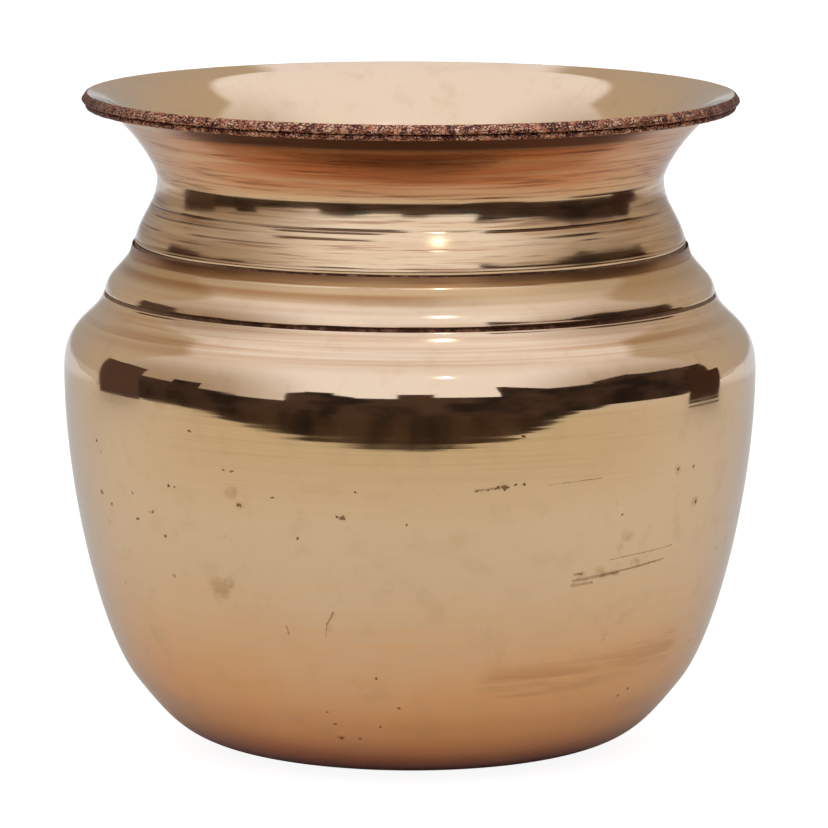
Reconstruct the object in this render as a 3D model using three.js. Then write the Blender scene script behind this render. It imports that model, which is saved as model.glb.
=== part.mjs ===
// A lota: a small round-bellied water pot of polished copper alloy.
// Its sheets are raised and turned one by one, lap inside each other at the creases, and are brazed.
// Millimetres, +Z up, origin on the floor under the pot's axis. Every piece is turned about that axis.

import * as THREE from 'three';

// Driving dimensions: the outside of the pot, followed from the floor up to the mouth
const footDiameter = 36; // outer edge of the flat ring that the pot stands on
const standWidth = 5; // width of that ring
const dishDepth = 0.8; // hollow in the middle of the base
const bellyDiameter = 105.6; // widest place
const bellyHeight = 58;
const heelInset = 10.75; // the rounded bottom turns into the wall this far inside the widest place
const heelHeight = 10.65;
const shoulderStep = 6.3; // from the widest place in to the crease under the collar
const shoulderRise = 11.8;
const collarStep = 3.6; // across the collar's rounded ring
const collarRise = 5.4;
const bandStep = 0.95; // across the narrow straight band at the collar's top
const bandRise = 2.3;
const neckStep = 3.45; // from the band in to the waist of the neck
const neckRise = 9.5;
const mouthFlare = 11.5; // from the waist out to the edge of the lip
const mouthRise = 13;

// Driving dimensions: sheet, seams and rim
const wall = 1.2; // sheet of the bowl, the shoulder and the neck
const collarWall = 1; // sheet of the collar
const seamGap = 0.4; // room for brazing metal between two lapped sheets
const filmClearance = 0.05; // between brazing metal and each sheet
const bellyLap = 4.5; // the bowl's edge reaches this far up inside the shoulder
const skirtReach = 3; // the neck reaches this far down inside the shoulder, below the crease
const creaseWidth = 0.5; // turned crease between the shoulder and the collar
const creaseDepth = 0.4; // brazing metal lies this far below the surface in a crease
const filletLeg = 1.8; // height of the brazing fillet under the shoulder's edge
const lipSwell = 0.2; // the hammered edge of the lip is this much thicker than its sheet
const wireDiameter = 0.85; // stiffening wire under the lip
const wireGap = 0.15; // dark line between the lip and its wire

// How the outline leaves one place and meets the next: its lean from upright in degrees, outwards positive,
// and how long it holds that lean, as a share of the straight distance between the two places
const heelSweep = { leave: [90, 0.59], meet: [38.3, 0.39] };
const wallSweep = { leave: [38.3, 0.185], meet: [0, 0.356] };
const shoulderSweep = { leave: [0, 0.575], meet: [-19, 0.374] };
const collarSweep = { leave: [-10, 0.52], meet: [-31, 0.51] };
const neckSweep = { leave: [-16, 0.347], meet: [0, 0.396] };
const mouthSweep = { leave: [0, 0.124], meet: [81, 0.34] };

// Fineness of the turned surfaces: sides of a ring, and steps along each stretch of a profile
const around = 40;
const dishSteps = 3;
const heelSteps = 6;
const wallSteps = 5;
const lapSteps = 3;
const shoulderSteps = 9;
const filletSteps = 2;
const collarSteps = 6;
const neckSteps = 6;
const mouthSteps = 8;
const beadSteps = 6;
const wireSides = 10;

// Places on the outline
const place = (radius, height) => new THREE.Vector2(radius, height);
const foot = place(footDiameter / 2, 0);
const belly = place(bellyDiameter / 2, bellyHeight);
const heel = place(belly.x - heelInset, heelHeight);
const collarFoot = place(belly.x - shoulderStep, belly.y + shoulderRise);
const bandFoot = place(collarFoot.x - collarStep, collarFoot.y + collarRise);
const bandTop = place(bandFoot.x - bandStep, bandFoot.y + bandRise);
const waist = place(bandTop.x - neckStep, bandTop.y + neckRise);
const beadRadius = (wall + lipSwell) / 2;
const bead = place(waist.x + mouthFlare - beadRadius, waist.y + mouthRise - beadRadius);
const lip = place(bead.x, bead.y - beadRadius);

// One smooth stretch of the outline
function sweep(from, to, { leave, meet }) {
  const span = from.distanceTo(to);
  const along = ([lean, hold]) => {
    const angle = THREE.MathUtils.degToRad(lean);
    return place(Math.sin(angle), Math.cos(angle)).multiplyScalar(hold * span);
  };
  return new THREE.CubicBezierCurve(from, from.clone().add(along(leave)), to.clone().sub(along(meet)), to);
}

const heelCurve = sweep(foot, heel, heelSweep);
const wallCurve = sweep(heel, belly, wallSweep);
const shoulderCurve = sweep(belly, collarFoot, shoulderSweep);
const collarCurve = sweep(collarFoot, bandFoot, collarSweep);
const bandLine = new THREE.LineCurve(bandFoot, bandTop);
const neckCurve = sweep(bandTop, waist, neckSweep);
const mouthCurve = sweep(waist, lip, mouthSweep);

// Where along a stretch the outline passes a height, from 0 at its foot to 1 at its top
function shareAt(curve, height) {
  let low = 0;
  let high = 1;
  while (high - low > 1e-9) {
    const middle = (low + high) / 2;
    if (curve.getPoint(middle).y < height) low = middle;
    else high = middle;
  }
  return high;
}

// The point at a depth under the outside, square in from a height of the outline
function under(curve, height, depth) {
  const share = shareAt(curve, height);
  const up = curve.getTangent(share);
  return curve.getPoint(share).add(place(-up.y, up.x).multiplyScalar(depth));
}

// Points at one depth under the outside, between two heights of the outline
function layer(curve, depth, steps, low = curve.getPoint(0).y, high = curve.getPoint(1).y) {
  const start = shareAt(curve, low);
  const end = shareAt(curve, high);
  return Array.from({ length: steps + 1 }, (_, i) => {
    const share = THREE.MathUtils.lerp(start, end, i / steps);
    return under(curve, curve.getPoint(share).y, depth);
  });
}

// Points along a circle's edge, between two angles in degrees
function arc(centre, radius, from, to, steps) {
  return Array.from({ length: steps + 1 }, (_, i) => {
    const angle = THREE.MathUtils.degToRad(THREE.MathUtils.lerp(from, to, i / steps));
    return place(Math.cos(angle), Math.sin(angle)).multiplyScalar(radius).add(centre);
  });
}

const sheetMetal = new THREE.MeshStandardMaterial({ color: '#d3a079', roughness: 0.18, metalness: 1 });
const roughMetal = new THREE.MeshStandardMaterial({ color: '#8c644e', roughness: 0.6, metalness: 0.9 });
const brazingMetal = new THREE.MeshStandardMaterial({ color: '#a5743f', roughness: 0.45, metalness: 1 });

const lota = new THREE.Group();

// Turns a profile about the pot's axis: up its outside, then down its inside
function turn(name, material, outside, inside) {
  const profile = [...outside, ...inside.toReversed()];
  if (profile[0].x > 0) profile.push(profile[0]);
  const geometry = new THREE.LatheGeometry(profile, around);
  geometry.rotateX(Math.PI / 2);
  const piece = new THREE.Mesh(geometry, material);
  piece.name = name;
  lota.add(piece);
}

// Lapped seams: the inner sheet is set in at 45 degrees, and the outer sheet's edge is cut to the same slope
const bellySetIn = wall + seamGap;
const collarSetIn = collarWall + seamGap;
const bevelGap = seamGap * Math.SQRT2;
const bevelClearance = filmClearance * Math.SQRT2;
const mitre = wall * Math.tan(Math.PI / 8); // shift of the inner corner where a sheet bends by 45 degrees

// Heights of the edges that meet at the seams
const lapTop = belly.y + bellyLap;
const shoulderBottom = belly.y + bevelGap;
const shoulderTop = collarFoot.y - creaseWidth / 2;
const filletFoot = shoulderTop - filletLeg;
const collarBottom = collarFoot.y + creaseWidth / 2;
const collarTop = bandTop.y - bevelGap;

// Layers that lie on each other take the same steps, so that their facets stay parallel
const lapLayer = (depth, low) => layer(shoulderCurve, depth, lapSteps, low, lapTop);
const filletLayer = (depth) => layer(shoulderCurve, depth, filletSteps, filletFoot, shoulderTop);
const collarLayer = (depth) => layer(collarCurve, depth, collarSteps, collarBottom);

function lowerBowl() {
  const dishEdge = place(foot.x - standWidth, 0);
  const dish = new THREE.QuadraticBezierCurve(place(0, dishDepth), place(dishEdge.x / 2, dishDepth), dishEdge);
  const base = dish.getPoints(dishSteps);
  const floor = base.map((point) => place(point.x, point.y + wall));
  turn(
    'lower_bowl',
    sheetMetal,
    [
      ...base,
      ...layer(heelCurve, 0, heelSteps),
      ...layer(wallCurve, 0, wallSteps).slice(1),
      ...lapLayer(bellySetIn, belly.y + bellySetIn),
    ],
    [
      ...floor,
      ...layer(heelCurve, wall, heelSteps),
      ...layer(wallCurve, wall, wallSteps, heel.y, belly.y - mitre).slice(1),
      ...lapLayer(bellySetIn + wall, belly.y + bellySetIn - mitre),
    ],
  );
}

function bellyBraze() {
  const onShoulder = wall + filmClearance;
  const onBowl = bellySetIn - filmClearance;
  const lowerEdge = belly.y + bevelClearance;
  const upperEdge = shoulderBottom - bevelClearance;
  turn(
    'belly_braze',
    brazingMetal,
    [
      under(shoulderCurve, lowerEdge, 0),
      under(shoulderCurve, upperEdge, 0),
      ...lapLayer(onShoulder, upperEdge + onShoulder),
    ],
    lapLayer(onBowl, lowerEdge + onBowl),
  );
}

function shoulderShell() {
  turn(
    'shoulder_shell',
    sheetMetal,
    layer(shoulderCurve, 0, shoulderSteps, shoulderBottom, shoulderTop),
    [
      ...lapLayer(wall, shoulderBottom + wall),
      ...layer(shoulderCurve, wall, lapSteps, lapTop, filletFoot).slice(1),
      ...filletLayer(wall).slice(1),
    ],
  );
}

// The neck's skirt goes straight down from inside the collar's foot
const skirtRadius = collarLayer(collarSetIn)[0].x;

function shoulderBraze() {
  const skirtSide = skirtRadius + filmClearance;
  const fillet = filletLayer(wall + filmClearance);
  const clearance = place(0, filmClearance);
  turn(
    'shoulder_braze',
    brazingMetal,
    [
      ...fillet,
      under(shoulderCurve, shoulderTop, wall).add(clearance),
      under(shoulderCurve, shoulderTop, creaseDepth).add(clearance),
      under(collarCurve, collarBottom, creaseDepth).sub(clearance),
      under(collarCurve, collarBottom, collarWall).sub(clearance),
    ],
    [
      place(skirtSide, fillet[0].y - filletLeg),
      place(skirtSide, under(collarCurve, collarBottom, collarSetIn).y - filmClearance),
    ],
  );
}

function collarRing() {
  turn(
    'collar_ring',
    sheetMetal,
    [...collarLayer(0), under(bandLine, collarTop, 0)],
    [
      ...collarLayer(collarWall),
      under(bandLine, bandFoot.y, collarWall),
      under(bandLine, collarTop - collarWall, collarWall),
    ],
  );
}

function collarBraze() {
  const onCollar = collarWall + filmClearance;
  const onNeck = collarSetIn - filmClearance;
  const lowerEdge = collarTop + bevelClearance;
  const upperEdge = bandTop.y - bevelClearance;
  turn(
    'collar_braze',
    brazingMetal,
    [
      ...collarLayer(onCollar).slice(1),
      under(bandLine, lowerEdge - onCollar, onCollar),
      under(bandLine, lowerEdge - creaseDepth, creaseDepth),
      under(bandLine, upperEdge - creaseDepth, creaseDepth),
    ],
    [...collarLayer(onNeck).slice(1), under(bandLine, upperEdge - onNeck, onNeck)],
  );
}

function neckMouth() {
  const skirtBottom = collarFoot.y - skirtReach;
  const setInTop = bandTop.y - collarSetIn;
  const innerDepth = collarSetIn + wall;
  const beadEnd = 180 - THREE.MathUtils.radToDeg(Math.asin((wall - beadRadius) / beadRadius));
  turn(
    'neck_mouth',
    sheetMetal,
    [
      place(skirtRadius, skirtBottom),
      ...collarLayer(collarSetIn),
      under(bandLine, bandFoot.y, collarSetIn),
      under(bandLine, setInTop, collarSetIn),
      ...layer(neckCurve, 0, neckSteps),
      ...layer(mouthCurve, 0, mouthSteps).slice(1),
      ...arc(bead, beadRadius, -90, beadEnd, beadSteps).slice(1),
    ],
    [
      place(skirtRadius - wall, skirtBottom),
      ...collarLayer(innerDepth),
      under(bandLine, bandFoot.y, innerDepth),
      under(bandLine, setInTop + mitre, innerDepth),
      ...layer(neckCurve, wall, neckSteps, bandTop.y + mitre),
      ...layer(mouthCurve, wall, mouthSteps - 1, waist.y, lip.y - beadRadius).slice(1),
    ],
  );
}

const wireRadius = wireDiameter / 2;
const wireCentre = place(lip.x, lip.y - wireGap - wireRadius);

function rimWire() {
  const halfTurn = wireSides / 2;
  turn(
    'rim_wire',
    roughMetal,
    arc(wireCentre, wireRadius, -90, 90, halfTurn),
    arc(wireCentre, wireRadius, 270, 90, halfTurn).slice(1, -1),
  );
}

function rimBraze() {
  const lipShare = 0.6; // the fillet covers this share of the lip's last facet
  const wireBack = [216, 126]; // and this side of the wire, in degrees
  const [filletStart, underLip] = layer(mouthCurve, -filmClearance, mouthSteps).slice(-2);
  turn(
    'rim_braze',
    brazingMetal,
    arc(wireCentre, wireRadius + filmClearance, ...wireBack, filletSteps),
    [filletStart, filletStart.clone().lerp(underLip, lipShare)],
  );
}

lowerBowl();
bellyBraze();
shoulderShell();
shoulderBraze();
collarRing();
collarBraze();
neckMouth();
rimWire();
rimBraze();

export default lota;
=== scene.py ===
"""The looks of a lota: a polished pot of copper alloy, worn and stained, on a pale studio floor.

Lengths are millimetres while an outline is drawn and metres in the scene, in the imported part's
frame: +Z up, the floor at z = 0. Azimuth 0 faces the camera, on the -Y side, and grows to the
camera's right.
"""

import math
from dataclasses import dataclass
from typing import Callable

import bpy
import numpy as np
from mathutils import Euler, Matrix, Vector, noise


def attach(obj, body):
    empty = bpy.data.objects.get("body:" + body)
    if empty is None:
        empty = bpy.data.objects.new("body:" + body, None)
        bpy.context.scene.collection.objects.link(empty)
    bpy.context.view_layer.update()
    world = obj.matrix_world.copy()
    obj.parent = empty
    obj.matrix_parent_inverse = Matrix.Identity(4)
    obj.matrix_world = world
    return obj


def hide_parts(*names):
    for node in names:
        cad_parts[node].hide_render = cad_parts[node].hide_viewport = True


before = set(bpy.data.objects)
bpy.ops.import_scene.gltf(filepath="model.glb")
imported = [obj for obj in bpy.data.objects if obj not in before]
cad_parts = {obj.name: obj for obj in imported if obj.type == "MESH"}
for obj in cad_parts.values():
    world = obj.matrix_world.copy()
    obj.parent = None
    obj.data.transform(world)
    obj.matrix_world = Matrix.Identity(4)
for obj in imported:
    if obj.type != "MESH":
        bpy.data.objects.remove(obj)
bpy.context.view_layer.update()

MM = 0.001

# Outline: radius and height of its places
FOOT = (18, 0)
HEEL = (42.05, 10.65)
BELLY = (52.8, 58)
COLLAR_FOOT = (46.53, 69.8)
BAND_FOOT = (42.95, 75.15)
BAND_TOP = (41.95, 77.5)
WAIST = (38.55, 87)
LIP = (49.3, 98.6)

# Dish under the pot
DISH_RADIUS = 13
DISH_RISE = 0.8

# Sheets and seams; the lower crease is given by the heights of its two edges
WALL = 1.2
COLLAR_WALL = 1.0
SEAM = 0.4
BELLY_SET_IN = WALL + SEAM
COLLAR_SET_IN = COLLAR_WALL + SEAM
BEVEL = SEAM * math.sqrt(2)
MITRE = WALL * math.tan(math.pi / 8)
CREASE = (69.37, 69.95)
CREASE_DEPTH = 0.25
LAP_TOP = BELLY[1] + 4.5
COLLAR_TOP = BAND_TOP[1] - BEVEL
BAND_EDGE = (42.36, COLLAR_TOP)
SKIRT_BOTTOM = COLLAR_FOOT[1] - 3
FILLET = 1.8

# Rim: centre and radius of the lip's nose, of its top edge and of the wire under it
NOSE = ((49.55, 98.98), 0.42)
LIP_TOP = ((49.15, 99.58), 0.4)
WIRE = ((48.97, 98.05), 0.45)

# Fineness: sides of a ring, sides of the grained rim, and spacing of the rings of a profile
SIDES = 256
RIM_SIDES = 2048
SPACING = 0.9

# Degrees of bend over which an edge stays sharp
CRISP = 30

# Cuts of the turning tool: height, depth, width, azimuth from and to; a ridge's depth is negative
CUTS = [
    (69.2, -0.03, 0.4, -180, 180),
    (70.15, -0.03, 0.4, -180, 180),
    (77.65, -0.05, 0.4, -180, 180),
    (77.98, 0.03, 0.3, -180, 180),
    (83.35, 0.08, 0.5, -86, 1),
    (83.3, 0.03, 0.42, 0, 17),
    (83.1, 0.08, 0.5, 14, 74),
    (82.3, 0.06, 0.45, -77, -36),
    (82.95, 0.05, 0.42, -33, -4),
    (82.05, 0.07, 0.45, -32, -6),
    (80.9, 0.05, 0.42, -56, -25),
    (79.7, 0.03, 0.42, -58, -44),
    (80.5, 0.05, 0.42, -85, -64),
    (81.9, 0.05, 0.42, 25, 47),
    (81.1, 0.04, 0.42, 36, 46),
    (79.65, 0.03, 0.39, 13, 22),
    (79.45, 0.03, 0.39, 23, 30),
    (80.7, 0.03, 0.39, 3, 12),
    (79.75, 0.03, 0.39, 2, 9),
    (90, 0.05, 0.45, -54, -42),
    (91, 0.03, 0.42, -52, -44),
    (93.5, 0.03, 0.42, -46, -36),
    (91.8, 0.03, 0.42, -27, -14),
    (88.35, 0.05, 0.42, -9, 2),
    (87.3, 0.06, 0.48, 12, 27),
    (88, 0.04, 0.42, 12, 24),
    (87.4, 0.06, 0.48, 35, 70),
    (94.5, 0.03, 0.42, 29, 44),
]

# Marks on the belly: azimuth, height and radius of pits and of smudges
PITS = [
    (15.4, 47.3, 0.78),
    (14.2, 47.2, 0.52),
    (12.6, 47.0, 0.33),
    (10.8, 46.9, 0.45),
    (17.2, 47.5, 0.45),
    (18.7, 47.6, 0.39),
    (-28.6, 43.6, 0.52),
    (-10.8, 42.8, 0.52),
    (-11.6, 42.9, 0.39),
    (-51.9, 39.3, 0.45),
    (-8.6, 46.7, 0.33),
    (-22.6, 45.4, 0.39),
    (-31.2, 48.8, 0.33),
    (-29.7, 48.8, 0.33),
    (-42.9, 45.5, 0.39),
    (-41.6, 45.2, 0.33),
    (-63.1, 42.0, 0.52),
    (-59.8, 40.6, 0.52),
    (-52.4, 43.3, 0.39),
    (-37.6, 54.1, 0.33),
    (-62.9, 49.9, 0.45),
    (-47.5, 40.9, 0.39),
    (-45.0, 37.5, 0.39),
    (-18.5, 39.4, 0.39),
    (-0.4, 41.9, 0.26),
    (18.3, 54.8, 0.33),
    (49.6, 47.4, 0.52),
    (53.8, 47.4, 0.45),
    (55.6, 41.9, 0.52),
    (37.4, 41.8, 0.39),
    (-14.6, 7.7, 0.65),
    (-10.6, 7.6, 0.45),
    (-15.2, 10.1, 0.45),
    (-16.0, 12.1, 0.39),
    (-1.8, 13.2, 0.33),
    (-5.8, 9.9, 0.33),
    (-6.0, 18.0, 0.33),
    (48.3, 13.4, 0.45),
    (46.0, 12.7, 0.39),
]
SMUDGES = [
    (-34.3, 30.3, 2.6),
    (-32.4, 31.6, 1.6),
    (-30.1, 45.6, 1.5),
    (-30.4, 47.0, 1.2),
    (39.0, 38.7, 1.6),
    (37.4, 36.6, 1.2),
    (36.7, 23.3, 1.6),
    (-14.3, 25.6, 1.2),
    (-13.4, 27.7, 0.9),
    (30.6, 32.6, 1.5),
    (34.0, 33.1, 1.5),
    (37.5, 33.4, 1.4),
    (41.5, 33.9, 1.2),
    (15.2, 47.3, 1.3),
    (12.6, 47.1, 1.1),
    (49.6, 47.4, 1.2),
    (55.3, 41.9, 1.1),
    (-28.6, 43.6, 1.0),
    (-10.8, 42.8, 1.0),
    (-14.6, 7.7, 1.2),
]

# Scratches and stains on the belly: azimuth and height of both ends, and half the width
SCRATCHES = [
    ((28.9, 32.3), (38.0, 33.0), 0.40),
    ((37.0, 33.0), (48.5, 33.9), 0.22),
    ((28.7, 31.6), (32.6, 31.8), 0.34),
    ((29.0, 33.3), (30.4, 33.3), 0.30),
    ((35.6, 35.0), (50.3, 35.8), 0.12),
    ((22.9, 47.3), (32.6, 47.7), 0.09),
    ((10.6, 46.9), (14.0, 47.2), 0.24),
    ((-13.1, 28.2), (-14.4, 26.1), 0.22),
    ((-14.4, 26.1), (-14.7, 24.3), 0.16),
    ((-21.8, 25.7), (-21.5, 24.4), 0.18),
]
STAINS = [
    ((17.0, 16.6), (36.0, 17.0), 4.6),
    ((32.0, 17.2), (56.0, 19.5), 4.2),
]

# Degrees round the belly that a straight piece of a scratch or stain may span
LINE_PIECE = 4

# Colours of the polished metal, from clean to marked; some of them are painted shade
CLEAN = (0.87, 0.645, 0.445, 1)
LOW_TARNISH_AND_SHADE = (0.95, 0.475, 0.195, 1)
STAINED = (0.72, 0.36, 0.17, 1)
FOOT_SHADE = (0.52, 0.165, 0.10, 1)
CLOUDED = (0.80, 0.58, 0.36, 1)
YELLOWED = (0.785, 0.556, 0.315, 1)
YELLOW_LINE = (0.60, 0.40, 0.20, 1)
MOTTLED = (0.66, 0.45, 0.27, 1)
WIPED = (0.62, 0.35, 0.19, 1)
SHADED = (0.58, 0.37, 0.17, 1)
LEDGE_SHADE = (0.42, 0.19, 0.07, 1)
SMUDGED = (0.50, 0.31, 0.16, 1)
MARKED = (0.15, 0.05, 0.018, 1)

# Colours of the turned metal; some of them are painted shade and painted reflection
TURNED_PALE = (0.87, 0.64, 0.41, 1)
TURNED_DARK = (0.74, 0.47, 0.26, 1)
TURNED_SIDE_SHADE = (0.46, 0.29, 0.18, 1)
TARNISHED = (0.60, 0.34, 0.15, 1)
FLARE_REFLECTION = (0.70, 0.29, 0.13, 1)
BAND_REFLECTION_LOW = (0.46, 0.23, 0.085, 1)
BAND_REFLECTION_HIGH = (0.28, 0.12, 0.05, 1)
TOOL_LINE = (0.34, 0.15, 0.08, 1)
DIRT_AND_SHADE = (0.10, 0.045, 0.025, 1)

# Colours of the rim, of the brazing metal, and of all metal at a glancing angle; the sides of the
# rim and brazing carry painted shade and painted reflection
RIM_RED = (0.64, 0.23, 0.12, 1)
RIM_PALE = (1.0, 0.60, 0.37, 1)
RIM_SIDE_SHADE = (0.17, 0.075, 0.06, 1)
RIM_PIT = (0.10, 0.03, 0.022, 1)
FLUX = (0.09, 0.036, 0.022, 1)
BRAZE = (0.28, 0.13, 0.075, 1)
BRAZE_SIDE_REFLECTION = (0.36, 0.23, 0.14, 1)
GRAZED = (0.78, 0.85, 1, 1)

# Colours of the studio
WHITE = (1, 1, 1, 1)
SKY = (0.945, 0.99, 1.085, 1)
SKY_ASIDE = (0.39, 0.32, 0.25, 1)
BACK_WALL = (0.53, 0.47, 0.375, 1)
GROUND = (0.045, 0.034, 0.034, 1)
GROUND_BEHIND = (0.62, 0.58, 0.52, 1)
CARD_DARK = (0.05, 0.039, 0.038, 1)
CARD_BROWN = (0.16, 0.11, 0.09, 1)
CARD_RED = (0.09, 0.048, 0.038, 1)
PAPER_DARK = (0.86, 0.795, 0.66, 1)
PAPER_PALE = (0.89, 0.825, 0.69, 1)
SHADOW = (0.3, 0.3, 0.3, 1)

# Dark things in the room, which the pot mirrors: azimuth from and to, elevation of the top at
# both, and distance in metres
ROOM = [
    (-118, -107, 15.5, 17, 0.42),
    (-107, -95, 17.5, 17.5, 0.42),
    (-103, -85, 10, 10, 2.2),
    (-85, -73, 15, 15, 2.2),
    (-73, -58, 7, 6, 2.2),
    (-58, -41, 5.5, 4, 2.2),
    (-41, -35, 14, 17, 2.2),
    (-35, -25, 18, 18, 2.2),
    (-25, -18, 15, 12, 2.2),
    (-18, -4, 10.5, 10.5, 2.2),
    (-4, 8, 18, 18, 2.2),
    (8, 30, 13.5, 12, 2.2),
    (30, 34, 29, 29, 2.2),
    (34, 47, 28, 22, 2.2),
    (47, 65, 21.5, 21.5, 2.2),
    (65, 83, 24, 29, 2.2),
    (83, 90, 28, 24.5, 2.2),
    (90, 105, 24.5, 21, 2.2),
    (105, 116, 20, 17.5, 2.2),
    (99, 111, 14, 13, 0.38),
    (111, 117, 7, 6.5, 0.38),
]

# Near edge of the floor, as places on it in metres: rounded at the left, straight from there on
FLOOR_EDGE = [
    (-0.425, 0),
    (-0.41, -0.08),
    (-0.34, -0.165),
    (-0.28, -0.2),
    (-0.22, -0.225),
    (-0.1, -0.25),
]


# Outline


def sweep(start, end, leave, meet):
    """One smooth stretch of the outline: control points of a Bezier curve between two places.

    leave and meet give the lean from upright in degrees, outwards positive, and how long it holds.
    """
    start, end = np.array(start, float), np.array(end, float)
    span = np.linalg.norm(end - start)

    def along(lean, hold):
        angle = math.radians(lean)
        return hold * span * np.array([math.sin(angle), math.cos(angle)])

    return np.array([start, start + along(*leave), end - along(*meet), end])


def straight(start, end):
    """A straight stretch of the outline, as the same kind of curve."""
    lean = math.degrees(math.atan2(end[0] - start[0], end[1] - start[1]))
    return sweep(start, end, (lean, 1 / 3), (lean, 1 / 3))


def points_on(curve, shares):
    """Points at shares of a curve, from 0 at its start to 1 at its end."""
    t = np.atleast_1d(shares)[:, None]
    weights = (1 - t) ** 3, 3 * t * (1 - t) ** 2, 3 * t**2 * (1 - t), t**3
    return sum(weight * point for weight, point in zip(weights, curve))


def outward_on(curve, shares):
    """Directions square out from a curve, of length 1."""
    t = np.atleast_1d(shares)[:, None]
    hull = np.diff(curve, axis=0)
    up = (1 - t) ** 2 * hull[0] + 2 * t * (1 - t) * hull[1] + t**2 * hull[2]
    up /= np.linalg.norm(up, axis=1, keepdims=True)
    return np.stack([up[:, 1], -up[:, 0]], axis=1)


def share_at(curve, heights):
    """Shares of a curve at which it passes the given heights."""
    shares = np.linspace(0, 1, 4001)
    return np.interp(heights, points_on(curve, shares)[:, 1], shares)


def under(curve, heights, depth):
    """Points at a depth under the outside, square in from heights of the outline."""
    shares = share_at(curve, heights)
    return points_on(curve, shares) - depth * outward_on(curve, shares)


def layer(curve, depth=0.0, low=None, high=None, spacing=SPACING):
    """Points at one depth under the outside, between two heights of the outline."""
    low = curve[0, 1] if low is None else low
    high = curve[3, 1] if high is None else high
    ends = share_at(curve, [low, high])
    length = np.linalg.norm(np.diff(points_on(curve, ends), axis=0))
    shares = np.linspace(*ends, max(2, math.ceil(length / spacing)) + 1)
    return points_on(curve, shares) - depth * outward_on(curve, shares)


def arc(circle, start, end, steps):
    """Points on a circle, given as its centre and radius, between two angles in degrees."""
    centre, radius = circle
    angles = np.radians(np.linspace(start, end, steps + 1))
    return np.array(centre) + radius * np.stack([np.cos(angles), np.sin(angles)], axis=1)


heel_curve = sweep(FOOT, HEEL, (90, 0.59), (38.3, 0.39))
wall_curve = sweep(HEEL, BELLY, (38.3, 0.185), (0, 0.356))
shoulder_curve = sweep(BELLY, COLLAR_FOOT, (0, 0.575), (-19, 0.374))
collar_curve = sweep(COLLAR_FOOT, BAND_FOOT, (-9.5, 0.374), (-35.9, 0.525))
band_curve = sweep(BAND_FOOT, BAND_EDGE, (-40, 0.2), (-13, 0.45))
band_line = straight(BAND_FOOT, BAND_TOP)
neck_curve = sweep(BAND_TOP, WAIST, (-13, 0.4), (0, 0.38))
mouth_curve = sweep(WAIST, LIP, (0, 0.149), (87.6, 0.295))
skirt_radius = under(collar_curve, CREASE[1], COLLAR_SET_IN)[0, 0]


def on_belly(azimuth, height):
    """Where a mark on the belly sits, in metres."""
    radius = under(wall_curve if height > HEEL[1] else heel_curve, height, 0)[0, 0]
    angle = math.radians(azimuth)
    return Vector((radius * math.sin(angle), -radius * math.cos(angle), height)) * MM


# Relief: how far points stand proud of the profile, in millimetres, and how dark they are, from 0
# to 1: dirt and painted shade


def smooth(points):
    """Neither relief nor darkening."""
    return np.zeros(len(points)), np.zeros(len(points))


def tooled(points):
    """Uneven cuts and ridges, which fade out at their ends and recur on the far side."""
    fade, waver, darkest_depth = 5, 0.09, 0.045
    proud, grime_and_shade = smooth(points)
    azimuth = np.degrees(np.arctan2(points[:, 0], -points[:, 1]))
    for height, depth, width, start, end in CUTS:
        across = np.clip(1 - 2 * np.abs(points[:, 2] - height) / width, 0, 1)
        around = (azimuth - (start + end) / 2 + 90) % 180 - 90
        within = np.clip(((end - start) / 2 - np.abs(around)) / fade, 0, 1)
        share = across**2 * (3 - 2 * across) * within
        near = np.flatnonzero(share)
        places = [Vector((x * waver, y * waver, height)) for x, y, _ in points[near]]
        bite = [0.8 + 0.7 * noise.noise(place) for place in places]
        share[near] *= np.clip(bite, 0.45, 1)
        proud -= depth * share
        if depth > 0:
            # Darker in the cuts: part dirt, part painted shade in the grooves
            grime_and_shade = np.maximum(grime_and_shade, share * min(1, depth / darkest_depth))
    return proud, grime_and_shade


def grained(points):
    """The rough rim: grains with pits between them, on slow swells."""
    grain, pit_width, swell_length, depth = 0.42, 0.35, 1.3, 0.1
    proud, grime_and_shade = smooth(points)
    for i, point in enumerate(points):
        nearest = noise.voronoi(Vector(point) / grain)[0]
        pit = max(0.0, 1 - (nearest[1] - nearest[0]) / pit_width)
        swell = noise.noise(Vector(point) / swell_length)
        proud[i] = depth * (0.4 * swell - pit)
        # Darker in the pits, less on the swells
        grime_and_shade[i] = min(1.0, max(0.0, pit - 0.5 * swell))
    return proud, grime_and_shade


# Materials


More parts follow.
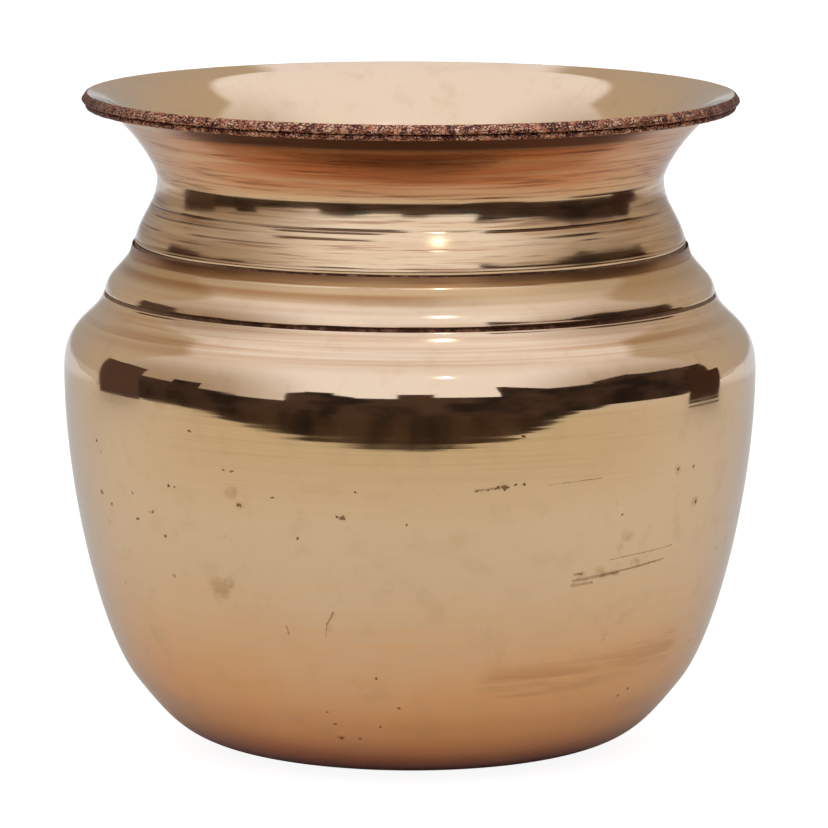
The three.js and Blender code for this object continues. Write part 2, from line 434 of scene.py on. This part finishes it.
class Nodes:
    """Builds a node tree one node a call. An input is a plain value or another node's output."""

    def __init__(self, tree):
        self.tree = tree
        tree.nodes.clear()

    def add(self, kind, inputs=None, output=0, **settings):
        made = self.tree.nodes.new("ShaderNode" + kind)
        for name, value in settings.items():
            setattr(made, name, value)
        for socket, value in (inputs or {}).items():
            if isinstance(value, bpy.types.NodeSocket):
                self.tree.links.new(value, made.inputs[socket])
            else:
                made.inputs[socket].default_value = value
        return made.outputs[output] if len(made.outputs) else made

    def math(self, operation, *values):
        return self.add("Math", dict(enumerate(values)), operation=operation)

    def chain(self, operation, first, *others):
        for other in others:
            first = self.math(operation, first, other)
        return first

    def times(self, *values):
        return self.chain("MULTIPLY", *values)

    def plus(self, *values):
        return self.chain("ADD", *values)

    def most(self, *values):
        return self.chain("MAXIMUM", *values)

    def ramp(self, value, start, end, low=0.0, high=1.0):
        """Goes smoothly from low to high as value goes from start to end."""
        inputs = {0: value, 1: start, 2: end, 3: low, 4: high}
        return self.add("MapRange", inputs, interpolation_type="SMOOTHSTEP")

    def window(self, value, start, full, fade, end):
        """Rises from 0 to 1 between start and full, and falls again between fade and end."""
        return self.times(self.ramp(value, start, full), self.ramp(value, end, fade))

    def mix(self, factor, first, second):
        return self.add("Mix", {0: factor, 6: first, 7: second}, output=2, data_type="RGBA")

    def coats(self, colour, *coats):
        """A colour with others laid over it in turn, each given after its share."""
        for share, coat in coats:
            colour = self.mix(share, colour, coat)
        return colour

    def vector(self, operation, first, second, output=0):
        return self.add("VectorMath", {0: first, 1: second}, output, operation=operation)

    def split(self, vector):
        parts = self.add("SeparateXYZ", {0: vector}).node
        return parts.outputs[0], parts.outputs[1], parts.outputs[2]

    def noise(self, vector, scale, detail=2.0, roughness=0.5, output=0):
        inputs = {"Vector": vector, "Scale": scale, "Detail": detail, "Roughness": roughness}
        return self.add("TexNoise", inputs, output)

    def bump(self, height, distance, normal=None, invert=False):
        inputs = {"Height": height, "Distance": distance, "Strength": 1.0}
        if normal:
            inputs["Normal"] = normal
        return self.add("Bump", inputs, invert=invert)

    def position(self):
        return self.add("TexCoord", output="Object")

    def axes(self):
        """A place's distance across, to the front or back, and up, in metres."""
        across, depth, height = self.split(self.position())
        return across, self.math("ABSOLUTE", depth), height

    # Dirt and painted shade in the cuts and pits
    def grime_and_shade(self):
        return self.add("Attribute", output="Fac", attribute_name="grime_and_shade")

    def rings(self, around, along):
        """Coordinates drawn out round the pot, for marks that follow the turning.

        around and along are cells per metre, round the pot and along its profile.
        """
        x, y, _ = self.split(self.position())
        _, length, _ = self.split(self.add("UVMap", uv_map="turned"))
        parts = [self.times(x, around), self.times(y, around), self.times(length, along)]
        return self.add("CombineXYZ", dict(enumerate(parts)))

    def bent(self, place, reach):
        """Places moved about by up to reach, which roughens the edges of marks."""
        push = self.vector("SUBTRACT", self.noise(place, 1400, output="Color"), (0.5,) * 3)
        inputs = {0: push, 1: (2 * reach,) * 3, 2: place}
        return self.add("VectorMath", inputs, operation="MULTIPLY_ADD")

    def spots(self, place, marks, squash=1.0):
        """The strongest of soft spots, round or squashed in height."""
        mask, shape = 0.0, Vector((1, 1, squash))
        place = self.vector("MULTIPLY", place, shape)
        for azimuth, height, radius in marks:
            away = self.vector("DISTANCE", place, on_belly(azimuth, height) * shape, "Value")
            mask = self.most(mask, self.ramp(away, radius * MM, 0.4 * radius * MM))
        return mask

    def lines(self, place, marks):
        """The strongest of soft lines, laid along the belly in short straight pieces."""
        mask = 0.0
        for start, end, width in marks:
            pieces = 1 + int(abs(end[0] - start[0]) / LINE_PIECE)
            joints = [on_belly(*spot) for spot in np.linspace(start, end, pieces + 1)]
            for here, there in zip(joints, joints[1:]):
                span = there - here
                reach = self.vector("SUBTRACT", place, here)
                share = self.vector("DOT_PRODUCT", reach, span / span.length_squared, "Value")
                share = self.add("Clamp", {0: share})
                nearest = self.add("VectorMath", {0: span, "Scale": share}, operation="SCALE")
                away = self.vector("DISTANCE", reach, nearest, "Value")
                mask = self.most(mask, self.ramp(away, width * MM, 0.2 * width * MM))
        return mask


def new_material(name):
    material = bpy.data.materials.new(name)
    material.use_nodes = True
    return material, Nodes(material.node_tree)


def finish_metal(nodes, colour, roughness, normal, metallic=1.0, grain=0.0):
    """Ends a metal's node tree; grain is how much more it blurs along the profile than round it."""
    inputs = {
        "Base Color": colour,
        "Roughness": roughness,
        "Normal": normal,
        "Metallic": metallic,
        "Specular Tint": GRAZED,
        "Anisotropic": grain,
        "Anisotropic Rotation": 0.25,
        "Tangent": nodes.add("Tangent", direction_type="RADIAL", axis="Z"),
    }
    nodes.add("OutputMaterial", {"Surface": nodes.add("BsdfPrincipled", inputs)})


def polished_alloy():
    """Polished alloy: redder low down, faintly rippled, pitted, smudged, scratched and stained."""
    material, nodes = new_material("polished_alloy")
    place = nodes.position()
    across, facing, height = nodes.axes()
    cloud = nodes.noise(place, 38, detail=5, roughness=0.6)
    mottle = nodes.noise(place, 230, detail=4, roughness=0.6)
    fine = nodes.noise(nodes.rings(22, 2400), 1, detail=1)
    ripple = nodes.noise(nodes.rings(5, 850), 1, detail=1)
    smear = nodes.noise(nodes.rings(45, 800), 1, detail=3, roughness=0.6)
    wipe = nodes.noise(nodes.rings(12, 900), 1, detail=3)

    streaked = nodes.math("MULTIPLY_ADD", smear, 0.018, height)
    # Redder low down: part tarnish, part painted shade, the reflection of the shaded floor near the
    # pot
    low = nodes.times(nodes.ramp(streaked, 0.045, 0.014), nodes.ramp(cloud, 0.3, 0.62, 0.6, 1.0))
    stain = nodes.times(nodes.lines(place, STAINS), nodes.ramp(smear, 0.34, 0.6, 0.0, 0.9))
    yellowed = nodes.window(height, 0.040, 0.053, 0.057, 0.0585)
    yellowed = nodes.times(yellowed, nodes.ramp(facing, 0.030, 0.047))
    yellow_line = nodes.times(yellowed, nodes.ramp(fine, 0.5, 0.65, 0.0, 0.2))

    shoulder = nodes.window(height, 0.0635, 0.066, 0.0765, 0.0775)
    wiped = nodes.times(shoulder, nodes.ramp(wipe, 0.36, 0.64, 0.0, 0.9))
    wiped = nodes.times(wiped, nodes.ramp(height, 0.0693, 0.0703, 1.0, 0.5))
    wiped = nodes.times(wiped, nodes.ramp(facing, 0.012, 0.035, 0.4, 1.0))
    # Painted shade on the collar's top, under the band's foot: shaded all round, ledge_shade
    # darkest at the front left
    shaded = nodes.times(shoulder, nodes.ramp(height, 0.0715, 0.0745, 0.0, 0.7))
    ledge_shade = nodes.window(height, 0.0728, 0.0740, 0.0741, 0.0746)
    ledge_shade = nodes.times(ledge_shade, nodes.ramp(across, 0.012, -0.004, 0.1, 0.75))

    rough_edged = nodes.bent(place, 0.0005)
    cell = nodes.add("TexVoronoi", {"Vector": rough_edged, "Scale": 260.0}).node
    lone = nodes.ramp(nodes.split(cell.outputs["Color"])[0], 0.93, 0.96)
    tiny = nodes.times(lone, nodes.ramp(cell.outputs["Distance"], 0.1, 0.03))
    tiny = nodes.times(tiny, nodes.ramp(height, 0.0585, 0.057))
    pits = nodes.most(nodes.times(tiny, 0.6), nodes.spots(rough_edged, PITS, squash=1.5))
    smudge = nodes.times(nodes.spots(place, SMUDGES), nodes.ramp(mottle, 0.4, 0.65))
    scratch = nodes.lines(nodes.bent(place, 0.00015), SCRATCHES)
    scratch = nodes.times(scratch, nodes.ramp(mottle, 0.3, 0.6, 0.4, 1.0))
    # Dark marks: pits and scratches, and dirt and painted shade in the cuts
    grime_and_shade = nodes.most(nodes.times(pits, 0.75), nodes.times(nodes.grime_and_shade(), 0.7))
    grime_and_shade = nodes.most(grime_and_shade, nodes.times(scratch, 0.65))

    colour = nodes.coats(
        CLEAN,
        (low, LOW_TARNISH_AND_SHADE),
        (stain, STAINED),
        # painted shade at the foot, where the pot mirrors its own shadow on the floor
        (nodes.ramp(height, 0.009, 0.001, 0.0, 0.85), FOOT_SHADE),
        (nodes.ramp(cloud, 0.35, 0.7, 0.0, 0.3), CLOUDED),
        (nodes.times(yellowed, 0.9), YELLOWED),
        (yellow_line, YELLOW_LINE),
        (nodes.ramp(mottle, 0.5, 0.75, 0.0, 0.3), MOTTLED),
        (wiped, WIPED),
        (shaded, SHADED),
        (ledge_shade, LEDGE_SHADE),
        (nodes.times(smudge, 0.55), SMUDGED),
        (grime_and_shade, MARKED),
    )
    roughness = nodes.ramp(mottle, 0.3, 0.75, 0.045, 0.085)
    roughness = nodes.plus(roughness, nodes.times(shoulder, 0.05), nodes.times(grime_and_shade, 0.35))
    widest = nodes.window(height, 0.050, 0.057, 0.061, 0.066)
    waves = nodes.times(ripple, nodes.ramp(widest, 0.0, 1.0, 0.2, 1.0))
    normal = nodes.bump(waves, 0.000014, nodes.bump(fine, 0.0000015))
    normal = nodes.bump(pits, 0.00003, normal, invert=True)
    finish_metal(nodes, colour, roughness, normal)
    return material


def turned_alloy():
    """Alloy as turning left it: streaked, a redder painted reflection in the mouth, painted shade
    under the lip.
    """
    material, nodes = new_material("turned_alloy")
    across, facing, height = nodes.axes()
    streak = nodes.noise(nodes.rings(75, 2300), 1, detail=3, roughness=0.6)
    broad = nodes.noise(nodes.rings(30, 650), 1, detail=2)

    front = nodes.ramp(facing, 0.0225, 0.0365)
    # Painted shade at the left and right of the neck
    side = nodes.times(nodes.ramp(facing, 0.038, 0.024), nodes.ramp(broad, 0.3, 0.6, 0.3, 0.7))
    side = nodes.times(side, nodes.ramp(height, 0.089, 0.085))
    tarnish = nodes.times(nodes.ramp(across, 0.0, 0.02), nodes.ramp(height, 0.0845, 0.083))
    tarnish = nodes.times(tarnish, nodes.ramp(broad, 0.35, 0.6, 0.1, 0.35))
    # Painted reflection: redder where the mouth flares, most at the front and back, where the mouth
    # mirrors itself
    flare_reflection = nodes.times(nodes.ramp(height, 0.0862, 0.0905), nodes.ramp(broad, 0.3, 0.6, 0.6, 1.0))
    flare_reflection = nodes.times(flare_reflection, nodes.ramp(front, 0.0, 1.0, 0.55, 1.0))
    # The band is painted with a reflection of the dark room, darker towards its top
    band = nodes.window(height, 0.0753, 0.0755, 0.0772, 0.0778)
    band_reflection = nodes.mix(nodes.ramp(height, 0.0757, 0.0769), BAND_REFLECTION_LOW, BAND_REFLECTION_HIGH)
    line = nodes.times(nodes.ramp(streak, 0.5, 0.66), nodes.ramp(broad, 0.4, 0.6, 0.4, 1.0))
    # Painted shade under the lip, at the front and back; the cuts add dirt and painted shade
    under_lip_shade = nodes.times(nodes.ramp(height, 0.0951, 0.0960), front)
    grime_and_shade = nodes.most(nodes.times(under_lip_shade, 0.88), nodes.times(nodes.grime_and_shade(), 0.85))

    colour = nodes.coats(
        TURNED_PALE,
        (nodes.ramp(broad, 0.4, 0.65, 0.1, 0.5), TURNED_DARK),
        (side, TURNED_SIDE_SHADE),
        (tarnish, TARNISHED),
        (flare_reflection, FLARE_REFLECTION),
        (nodes.times(band, 0.9), band_reflection),
        (nodes.times(line, 0.7), TOOL_LINE),
        (grime_and_shade, DIRT_AND_SHADE),
    )
    roughness = nodes.ramp(streak, 0.35, 0.7, 0.11, 0.2)
    roughness = nodes.plus(roughness, nodes.times(grime_and_shade, 0.25), nodes.times(band, 0.2))
    normal = nodes.bump(broad, 0.000012, nodes.bump(streak, 0.000007))
    finish_metal(nodes, colour, roughness, normal, grain=0.5)
    return material


def rough_rim():
    """The unpolished rim: pale worn grains and dark pits, with painted shade at the sides."""
    material, nodes = new_material("rough_rim")
    place = nodes.position()
    _, facing, _ = nodes.axes()
    patch = nodes.noise(place, 1100, detail=3, roughness=0.6)
    colour = nodes.coats(
        RIM_RED,
        (nodes.ramp(patch, 0.38, 0.62), RIM_PALE),
        # painted shade at the left and right
        (nodes.ramp(facing, 0.036, 0.012, 0.0, 0.85), RIM_SIDE_SHADE),
        (nodes.ramp(nodes.grime_and_shade(), 0.2, 0.75), RIM_PIT),
    )
    roughness = nodes.ramp(patch, 0.3, 0.7, 0.6, 0.4)
    normal = nodes.bump(nodes.noise(place, 3500), 0.00005)
    finish_metal(nodes, colour, roughness, normal, metallic=0.6)
    return material


def brazing_metal():
    """Dull brazing metal, dark with old flux in front and behind, with a paler painted reflection
    at the sides.
    """
    material, nodes = new_material("brazing_metal")
    _, facing, _ = nodes.axes()
    patch = nodes.noise(nodes.position(), 500, detail=4, roughness=0.65)
    colour = nodes.coats(
        FLUX,
        (nodes.ramp(patch, 0.45, 0.7), BRAZE),
        # painted reflection at the left and right
        (nodes.ramp(facing, 0.042, 0.02), BRAZE_SIDE_REFLECTION),
    )
    roughness = nodes.ramp(patch, 0.3, 0.7, 0.7, 0.45)
    finish_metal(nodes, colour, roughness, nodes.bump(patch, 0.00008))
    return material


polished = polished_alloy()
turned = turned_alloy()
rim = rough_rim()
braze = brazing_metal()


# Turning


@dataclass
class Run:
    """A stretch of a closed profile: its points, its finish, and the sides of its rings."""

    points: np.ndarray
    material: bpy.types.Material = polished
    relief: Callable = smooth
    sides: int = SIDES


def closed_runs(outside, inside, material=polished):
    """Plain runs up an outside and back down an inside, both given from the bottom up."""
    up = [Run(points, material) for points in outside]
    return up + [Run(points[::-1], material) for points in inside[::-1]]


def strip(sides, next_sides):
    """Faces from one ring to the next, as corners (which of the two rings, place on it)."""
    if sides == next_sides:
        i = np.arange(sides)
        return [[(0, i), (0, i + 1), (1, i + 1), (1, i)]]
    i, j = np.arange(max(sides, next_sides)), np.arange(min(sides, next_sides))
    ratio = len(i) // len(j)
    if sides < next_sides:
        fan = [(0, i // ratio), (1, i + 1), (1, i)]
        gaps = [(0, j), (0, j + 1), (1, (j + 1) * ratio)]
    else:
        fan = [(0, i), (0, i + 1), (1, i // ratio)]
        gaps = [(0, (j + 1) * ratio), (1, j + 1), (1, j)]
    return [fan] if len(j) == 1 else [fan, gaps]


def spin(runs, profile, sides):
    """Points of the rings of a profile, raised or sunk by each run's relief, and how dark they are.
    """
    tangent = np.gradient(profile, axis=0)
    tangent /= np.linalg.norm(tangent, axis=1, keepdims=True)
    angles = np.concatenate([2 * math.pi * np.arange(n) / n for n in sides])
    spun = np.stack([np.cos(angles), np.sin(angles)], axis=1)
    ring = np.repeat(np.arange(len(profile)), sides)
    points = np.column_stack([profile[ring, :1] * spun, profile[ring, 1]])
    outward = np.column_stack([tangent[ring, 1:] * spun, -tangent[ring, 0]])
    grime_and_shade = np.zeros(len(points))
    owner = np.repeat(np.arange(len(runs)), [len(run.points) for run in runs])[ring]
    for number, run in enumerate(runs):
        own = owner == number
        proud, grime_and_shade[own] = run.relief(points[own])
        points[own] += outward[own] * proud[:, None]
    return points, grime_and_shade


def skin(profile, sides):
    """Yields the faces from each ring: its number, the faces' corners, and their UVs.

    U is the share of the way round, and V the length along the profile in metres. A profile that
    starts on the axis ends there too, and any other is closed.
    """
    steps = np.linalg.norm(np.roll(profile, -1, axis=0) - profile, axis=1)
    along = np.concatenate([[0], np.cumsum(steps)])
    first = np.concatenate([[0], np.cumsum(sides)])
    closed = sides[0] > 1
    for k in range(len(profile) if closed else len(profile) - 1):
        rings = (k, (k + 1) % len(profile))
        for shape in strip(*sides[list(rings)]):
            corners, uvs = [], []
            for which, place in shape:
                count = sides[rings[which]]
                length = np.full(len(place), along[k + which] * MM)
                corners.append(first[rings[which]] + place % count)
                uvs.append(np.stack([place / count, length], axis=1))
            yield k, np.stack(corners, axis=1), np.stack(uvs, axis=1)


def turn(name, runs):
    """Turns a profile, up its outside and down its inside, to stand for a node of the part."""
    profile = np.concatenate([run.points for run in runs])
    owners = [run for run in runs for _ in run.points]
    sides = np.array([run.sides for run in owners])
    sides[profile[:, 0] == 0] = 1
    points, grime_and_shade = spin(runs, profile, sides)
    materials = list(dict.fromkeys(run.material for run in runs))
    faces, finishes, uvs = [], [], []
    for k, corners, corner_uvs in skin(profile, sides):
        faces += corners.tolist()
        finishes += [materials.index(owners[k].material)] * len(corners)
        uvs.append(corner_uvs.ravel())

    mesh = bpy.data.meshes.new(name)
    mesh.from_pydata((points * MM).tolist(), [], faces)
    mesh.uv_layers.new(name="turned").data.foreach_set("uv", np.concatenate(uvs))
    mesh.attributes.new("grime_and_shade", "FLOAT", "POINT").data.foreach_set("value", grime_and_shade)
    for material in materials:
        mesh.materials.append(material)
    mesh.polygons.foreach_set("material_index", finishes)
    mesh.shade_smooth()
    mesh.set_sharp_from_angle(angle=math.radians(CRISP))
    piece = bpy.data.objects.new("turned_" + name, mesh)
    bpy.context.scene.collection.objects.link(piece)
    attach(piece, "root")
    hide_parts(name)


# Pieces


def lower_bowl():
    """The dish under it is a shallow arch from the centre to the ring that the pot stands on."""
    t = np.linspace(0, 1, 9)[:, None]
    dish = 2 * t * (1 - t) * (DISH_RADIUS / 2, DISH_RISE)
    dish += t**2 * (DISH_RADIUS, 0) + (1 - t) ** 2 * (0, DISH_RISE)
    outside = [
        dish,
        layer(heel_curve),
        layer(wall_curve)[1:],
        layer(shoulder_curve, BELLY_SET_IN, BELLY[1] + BELLY_SET_IN, LAP_TOP),
    ]
    inside = [
        dish + (0, WALL),
        layer(heel_curve, WALL),
        layer(wall_curve, WALL, high=BELLY[1] - MITRE)[1:],
        layer(shoulder_curve, BELLY_SET_IN + WALL, BELLY[1] + BELLY_SET_IN - MITRE, LAP_TOP),
    ]
    turn("lower_bowl", closed_runs(outside, inside))


def belly_braze():
    """Its outside is polished over with the belly's."""
    seam_top = BELLY[1] + BEVEL
    outside = [
        layer(shoulder_curve, 0, BELLY[1], seam_top),
        layer(shoulder_curve, WALL, seam_top + WALL, LAP_TOP),
    ]
    inside = layer(shoulder_curve, BELLY_SET_IN, BELLY[1] + BELLY_SET_IN, LAP_TOP)
    turn("belly_braze", closed_runs(outside, [inside]))


def shoulder_shell():
    """Finest at its top edge, where the tool raised a ridge beside the crease."""
    bottom, top = BELLY[1] + BEVEL, CREASE[0]
    edge = top - 0.4
    runs = [
        Run(layer(shoulder_curve, 0, bottom, edge, spacing=0.4)),
        Run(layer(shoulder_curve, 0, edge, top, spacing=0.05)[1:], relief=tooled),
        Run(layer(shoulder_curve, WALL, bottom + WALL, top)[::-1]),
    ]
    turn("shoulder_shell", runs)


def shoulder_braze():
    """Fills the lower crease and, with a fillet, the corner inside it."""
    fillet = layer(shoulder_curve, WALL, CREASE[0] - FILLET, CREASE[0])
    outside = [
        fillet,
        under(shoulder_curve, CREASE[0], CREASE_DEPTH),
        under(collar_curve, CREASE[1], CREASE_DEPTH),
        under(collar_curve, CREASE[1], COLLAR_WALL),
    ]
    skirt_top = under(collar_curve, CREASE[1], COLLAR_SET_IN)
    inside = np.vstack([(skirt_radius, fillet[0, 1] - FILLET), skirt_top])
    turn("shoulder_braze", closed_runs(outside, [inside], braze))


def collar_ring():
    """A rounded ring, and the narrow band that rises from it with a soft foot."""
    runs = [
        Run(layer(collar_curve, 0, CREASE[1], spacing=0.1), relief=tooled),
        Run(layer(band_curve, spacing=0.07)[1:], turned, tooled),
        Run(layer(band_line, COLLAR_WALL, high=COLLAR_TOP - COLLAR_WALL)[::-1]),
        Run(layer(collar_curve, COLLAR_WALL, CREASE[1])[::-1]),
    ]
    turn("collar_ring", runs)


def collar_braze():
    """Lies between the collar and the neck's skirt, and floors the upper crease."""
    outside = [
        layer(collar_curve, COLLAR_WALL, CREASE[1]),
        under(band_line, COLLAR_TOP - COLLAR_WALL, COLLAR_WALL),
        under(band_line, COLLAR_TOP - CREASE_DEPTH, CREASE_DEPTH),
        under(band_line, BAND_TOP[1] - CREASE_DEPTH, CREASE_DEPTH),
    ]
    inside = [
        layer(collar_curve, COLLAR_SET_IN, CREASE[1]),
        under(band_line, BAND_TOP[1] - COLLAR_SET_IN, COLLAR_SET_IN),
    ]
    turn("collar_braze", closed_runs(outside, inside, braze))


def neck_mouth():
    """The skirt behind the collar, the neck, the flared mouth and its rough lip."""
    set_in_top = BAND_TOP[1] - COLLAR_SET_IN
    inner = COLLAR_SET_IN + WALL
    nose, top = arc(NOSE, -90, 40, 10), arc(LIP_TOP, 40, 85, 7)
    face = np.linspace(nose[-1], top[0], 9)[1:-1]
    runs = [
        Run(np.array([(skirt_radius, SKIRT_BOTTOM)])),
        Run(layer(collar_curve, COLLAR_SET_IN, CREASE[1])),
        Run(under(band_line, [BAND_FOOT[1], set_in_top], COLLAR_SET_IN)),
        Run(layer(neck_curve, spacing=0.08)[:-1], turned, tooled),
        Run(layer(mouth_curve, spacing=0.1)[:-1], turned, tooled),
        Run(np.concatenate([nose, face, top]), rim, grained, RIM_SIDES),
        Run(arc(LIP_TOP, 95, 125, 3)),
        Run(layer(mouth_curve, WALL, high=LIP[1] - 0.6)[::-1]),
        Run(layer(neck_curve, WALL, BAND_TOP[1] + MITRE)[-2::-1]),
        Run(under(band_line, [set_in_top + MITRE, BAND_FOOT[1]], inner)),
        Run(layer(collar_curve, inner, CREASE[1])[::-1]),
        Run(np.array([(skirt_radius - WALL, SKIRT_BOTTOM)])),
    ]
    turn("neck_mouth", runs)


def rim_wire():
    """Grained where it shows, plain behind."""
    outside = Run(arc(WIRE, -110, 110, 18), rim, grained, RIM_SIDES)
    turn("rim_wire", [outside, Run(arc(WIRE, 130, 230, 5), rim)])


def rim_braze():
    """A fillet behind the wire, up against the lip."""
    filler = layer(mouth_curve, 0, LIP[1] - 0.4, LIP[1] - 0.1)
    runs = closed_runs([arc(WIRE, 216, 126, 4)], [filler], braze)
    turn("rim_braze", runs)


lower_bowl()
belly_braze()
shoulder_shell()
shoulder_braze()
collar_ring()
collar_braze()
neck_mouth()
rim_wire()
rim_braze()


# Stage


def toward(azimuth, elevation):
    """Direction from the pot."""
    a, e = math.radians(azimuth), math.radians(elevation)
    return Vector((math.sin(a) * math.cos(e), -math.cos(a) * math.cos(e), math.sin(e)))


def white_where(nodes, behind):
    """1 for the camera's rays, which see the background white.

    Mirrored rays see a share of that white, as far as they go behind the pot.
    """
    mirrored_share = 0.35
    path = nodes.add("LightPath").node.outputs
    mirrored = nodes.most(path["Is Glossy Ray"], path["Is Transmission Ray"])
    return nodes.most(path["Is Camera Ray"], nodes.times(mirrored, behind, mirrored_share))


def studio_world():
    """Bright above the room, dimmer at both sides and on a wall behind the pot."""
    world = bpy.data.worlds.new("studio")
    bpy.context.scene.world = world
    world.use_nodes = True
    nodes = Nodes(world.node_tree)
    x, depth, rise = nodes.split(nodes.add("TexCoord", output="Generated"))
    level = nodes.add("CombineXYZ", {0: x, 1: depth})
    _, behind, _ = nodes.split(nodes.add("VectorMath", {0: level}, operation="NORMALIZE"))
    aside = nodes.ramp(nodes.math("ABSOLUTE", x), 0.4, 1.05)
    wall = nodes.times(nodes.ramp(behind, 0.36, 0.47), nodes.ramp(rise, 0.755, 0.715))
    ground = nodes.mix(nodes.ramp(depth, 0.5, 0.6), GROUND, GROUND_BEHIND)
    white = white_where(nodes, nodes.ramp(depth, 0.985, 0.995))
    colour = nodes.coats(
        SKY,
        (aside, SKY_ASIDE),
        (wall, BACK_WALL),
        (nodes.ramp(rise, 0.0, -0.02), ground),
        (white, WHITE),
    )
    background = nodes.add("Background", {"Color": colour, "Strength": 1.0})
    nodes.add("OutputWorld", {"Surface": background})


def add_stage(name, corners, faces, material):
    """Adds a mesh that belongs to the stage, not to the pot."""
    mesh = bpy.data.meshes.new(name)
    mesh.from_pydata(corners, [], faces)
    mesh.materials.append(material)
    holder = bpy.data.objects.new(name, mesh)
    bpy.context.scene.collection.objects.link(holder)
    return holder


def dark_room():
    """Dark cards around the camera, seen only in the pot's polish."""
    eye, foot, pieces = 0.06, -0.5, 6
    corners, faces = [], []
    for start, end, start_top, end_top, distance in ROOM:
        first = len(corners)
        for share in np.linspace(0, 1, pieces + 1):
            flat = toward(start + share * (end - start), 0) * distance
            elevation = math.radians(start_top + share * (end_top - start_top))
            top = eye + distance * math.tan(elevation)
            corners += [(flat.x, flat.y, foot), (flat.x, flat.y, top)]
        faces += [[first + 2 * i + c for c in (0, 2, 3, 1)] for i in range(pieces)]
    material, nodes = new_material("dark_card")
    place = nodes.position()
    patch = nodes.noise(place, 1.7, detail=4)
    far_tone = nodes.mix(nodes.ramp(patch, 0.35, 0.65), CARD_DARK, CARD_BROWN)
    left = nodes.ramp(nodes.split(place)[0], 0.1, -0.1)
    near_tone = nodes.mix(left, CARD_RED, CARD_BROWN)
    near = nodes.ramp(nodes.vector("DISTANCE", place, (0, 0, 0), "Value"), 1.0, 0.8)
    tone = nodes.mix(near, far_tone, near_tone)
    nodes.add("OutputMaterial", {"Surface": nodes.add("BsdfDiffuse", {"Color": tone})})
    add_stage("dark_room", corners, faces, material).visible_camera = False


def studio_floor():
    """A pale sheet that ends short of the camera, white to it but for the pot's soft shadow."""
    right, back, spread, waver = 0.6, 1.6, 2.4, 0.004
    edge_x, edge_y = np.transpose(FLOOR_EDGE)
    across = np.linspace(edge_x[0], right, 161)
    edge = np.interp(across, edge_x, edge_y)
    edge += [waver * noise.noise(Vector((x * 25, 0, 0))) for x in across]
    n = len(across)
    near = [(x, y, 0) for x, y in zip(across, edge)]
    far = [(x * spread, back, 0) for x in across]
    faces = [(i, i + 1, n + i + 1, n + i) for i in range(n - 1)]
    material, nodes = new_material("pale_paper")
    place = nodes.position()
    _, depth, _ = nodes.split(place)
    tone = nodes.mix(nodes.noise(place, 120, detail=3), PAPER_DARK, PAPER_PALE)
    matt = nodes.add("BsdfDiffuse", {"Color": tone})
    glow = nodes.add("Emission", {"Color": WHITE, "Strength": 0.92})
    shade = nodes.add("BsdfDiffuse", {"Color": SHADOW})
    white = nodes.add("AddShader", {0: shade, 1: glow})
    share = white_where(nodes, nodes.ramp(depth, 0.3, 0.5))
    surface = nodes.add("MixShader", {0: share, 1: matt, 2: white})
    nodes.add("OutputMaterial", {"Surface": surface})
    add_stage("studio_floor", near + far, faces, material)


def lamp(name, azimuth, elevation, distance, size, power):
    """A round lamp aimed at the pot."""
    light = bpy.data.lights.new(name, "AREA")
    light.shape = "DISK"
    light.size = size
    light.energy = power
    away = toward(azimuth, elevation)
    holder = bpy.data.objects.new(name, light)
    holder.location = Vector((0, 0, 0.06)) + away * distance
    holder.rotation_euler = away.to_track_quat("Z", "Y").to_euler()
    bpy.context.scene.collection.objects.link(holder)


def photo_camera():
    """Stands where the photo was taken from."""
    stand = (0.00065, -0.9537, 0.19358)
    pitch, roll = math.radians(8.5357), math.radians(0.194)
    data = bpy.data.cameras.new("photo_camera")
    data.lens = 273.91
    data.sensor_width = 36
    data.clip_start = 0.01
    camera = bpy.data.objects.new("photo_camera", data)
    tilt = Euler((math.pi / 2 - pitch, 0, 0)).to_matrix() @ Matrix.Rotation(roll, 3, "Z")
    camera.matrix_world = Matrix.Translation(stand) @ tilt.to_4x4()
    bpy.context.scene.collection.objects.link(camera)
    bpy.context.scene.camera = camera


studio_world()
dark_room()
studio_floor()
lamp("spot", azimuth=15.8, elevation=53.3, distance=1.6, size=0.05, power=0.7)
photo_camera()
bpy.context.scene.view_settings.view_transform = "Standard"
